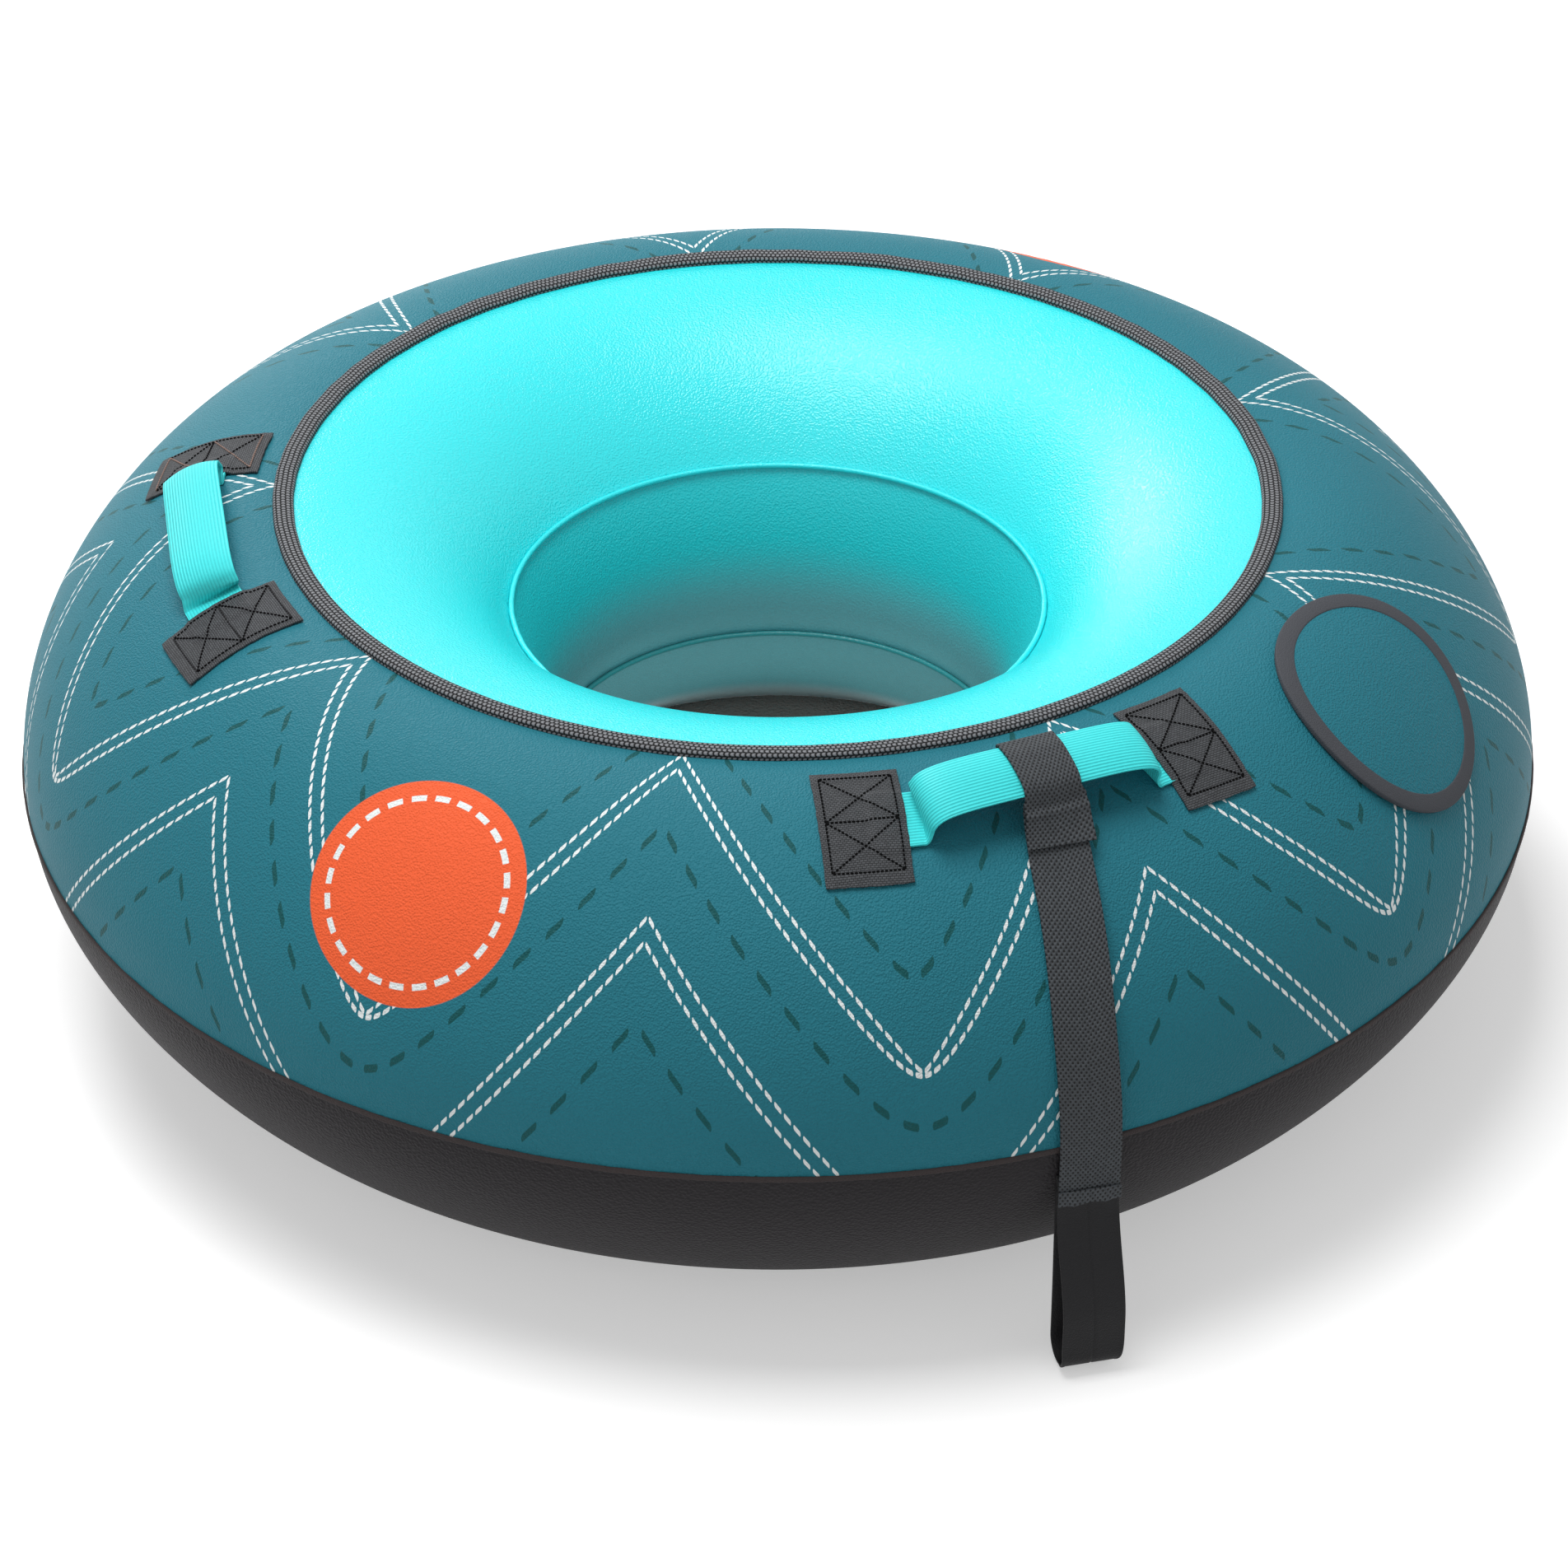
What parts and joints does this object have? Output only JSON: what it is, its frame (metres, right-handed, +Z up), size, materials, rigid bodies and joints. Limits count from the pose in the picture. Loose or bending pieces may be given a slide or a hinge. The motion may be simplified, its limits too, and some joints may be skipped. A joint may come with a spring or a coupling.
{
  "type": "snow tube",
  "caption": "Inflatable ring sled in a sewn cover, with a closed seat well, webbing handles, a tow strap ending in a hand loop, and a flap over the valve.",
  "frame": {"origin": "centre of the ring, on the ground that its underside rests on", "axes": "+Z up out of the seat well; -Y towards the front, where the tow strap hangs; -X towards the second handle"},
  "size_m": [1.003, 1.003, 0.3618],
  "materials": {
    "cover_print": "coated polyester, matt",
    "seat_vinyl": "PVC coated fabric, soft gloss",
    "well_vinyl": "PVC coated fabric, satin",
    "base_fabric": "heavy coated fabric, grained",
    "edge_binding": "woven tape, matt",
    "cyan_piping": "covered cord, satin",
    "well_piping": "covered cord, satin",
    "bladder": "smooth, satin",
    "valve_plastic": "moulded, satin",
    "valve_rubber": "moulded, matt",
    "handle_webbing": "ribbed webbing, matt",
    "patch_webbing": "woven patch, matt",
    "strap_webbing": "coarse webbing, matt",
    "loop_tape": "smooth tape, satin",
    "hook_tape": "hook and loop tape, matt"
  },
  "bodies": {
    "root": {"top_cover": "cover_print", "bottom_shell": "base_fabric", "seat_panel": "seat_vinyl", "throat_panel": "well_vinyl", "lower_wall_panel": "well_vinyl", "floor_panel": "base_fabric", "rim_binding": "edge_binding", "upper_piping": "cyan_piping", "lower_piping": "well_piping", "side_welt": "base_fabric", "inner_tube": "bladder", "valve_base": "valve_plastic", "valve_insert": "valve_plastic", "valve_membrane": "valve_rubber", "port_tape": "hook_tape", "front_handle_patch_left": "patch_webbing", "front_handle_patch_right": "patch_webbing", "front_handle_foot_left": "handle_webbing", "front_handle_foot_right": "handle_webbing", "left_handle_patch_back": "patch_webbing", "left_handle_patch_front": "patch_webbing", "left_handle_foot_back": "handle_webbing", "left_handle_foot_front": "handle_webbing"},
    "front_handle": {"front_handle_grip": "handle_webbing", "tow_collar": "strap_webbing"},
    "left_handle": {"left_handle_grip": "handle_webbing"},
    "tow_strap": {"tow_strap": "strap_webbing", "tow_tail": "strap_webbing", "hand_loop": "loop_tape"},
    "valve_flap": {"flap_panel": "cover_print", "flap_binding": "edge_binding", "flap_tape": "hook_tape"},
    "valve_cap": {"valve_cap": "valve_plastic"}
  },
  "joints": [
    {"name": "front_handle_tilt", "type": "hinge", "parent": "root", "child": "front_handle", "pos_m": [0.14882, -0.34064, 0.32631], "axis": [-0.9164, -0.4003, 0], "range_deg": [0, 25]},
    {"name": "left_handle_tilt", "type": "hinge", "parent": "root", "child": "left_handle", "pos_m": [-0.3676, -0.05527, 0.32631], "axis": [-0.1487, 0.9889, 0], "range_deg": [-25, 25]},
    {"name": "tow_strap_swing", "type": "hinge", "parent": "front_handle", "child": "tow_strap", "pos_m": [0.16133, -0.36928, 0.34106], "axis": [-0.9164, -0.4003, 0], "range_deg": [0, 120]},
    {"name": "valve_flap_hinge", "type": "hinge", "parent": "root", "child": "valve_flap", "pos_m": [0.40946, -0.12981, 0.30317], "axis": [-0.6874, 0.3655, 0.6276], "range_deg": [0, 150]},
    {"name": "valve_cap_turn", "type": "hinge", "parent": "root", "child": "valve_cap", "pos_m": [0.37661, -0.20025, 0.29943], "axis": [0.5542, -0.2946, 0.7785], "range_deg": [0, 540]}
  ]
}
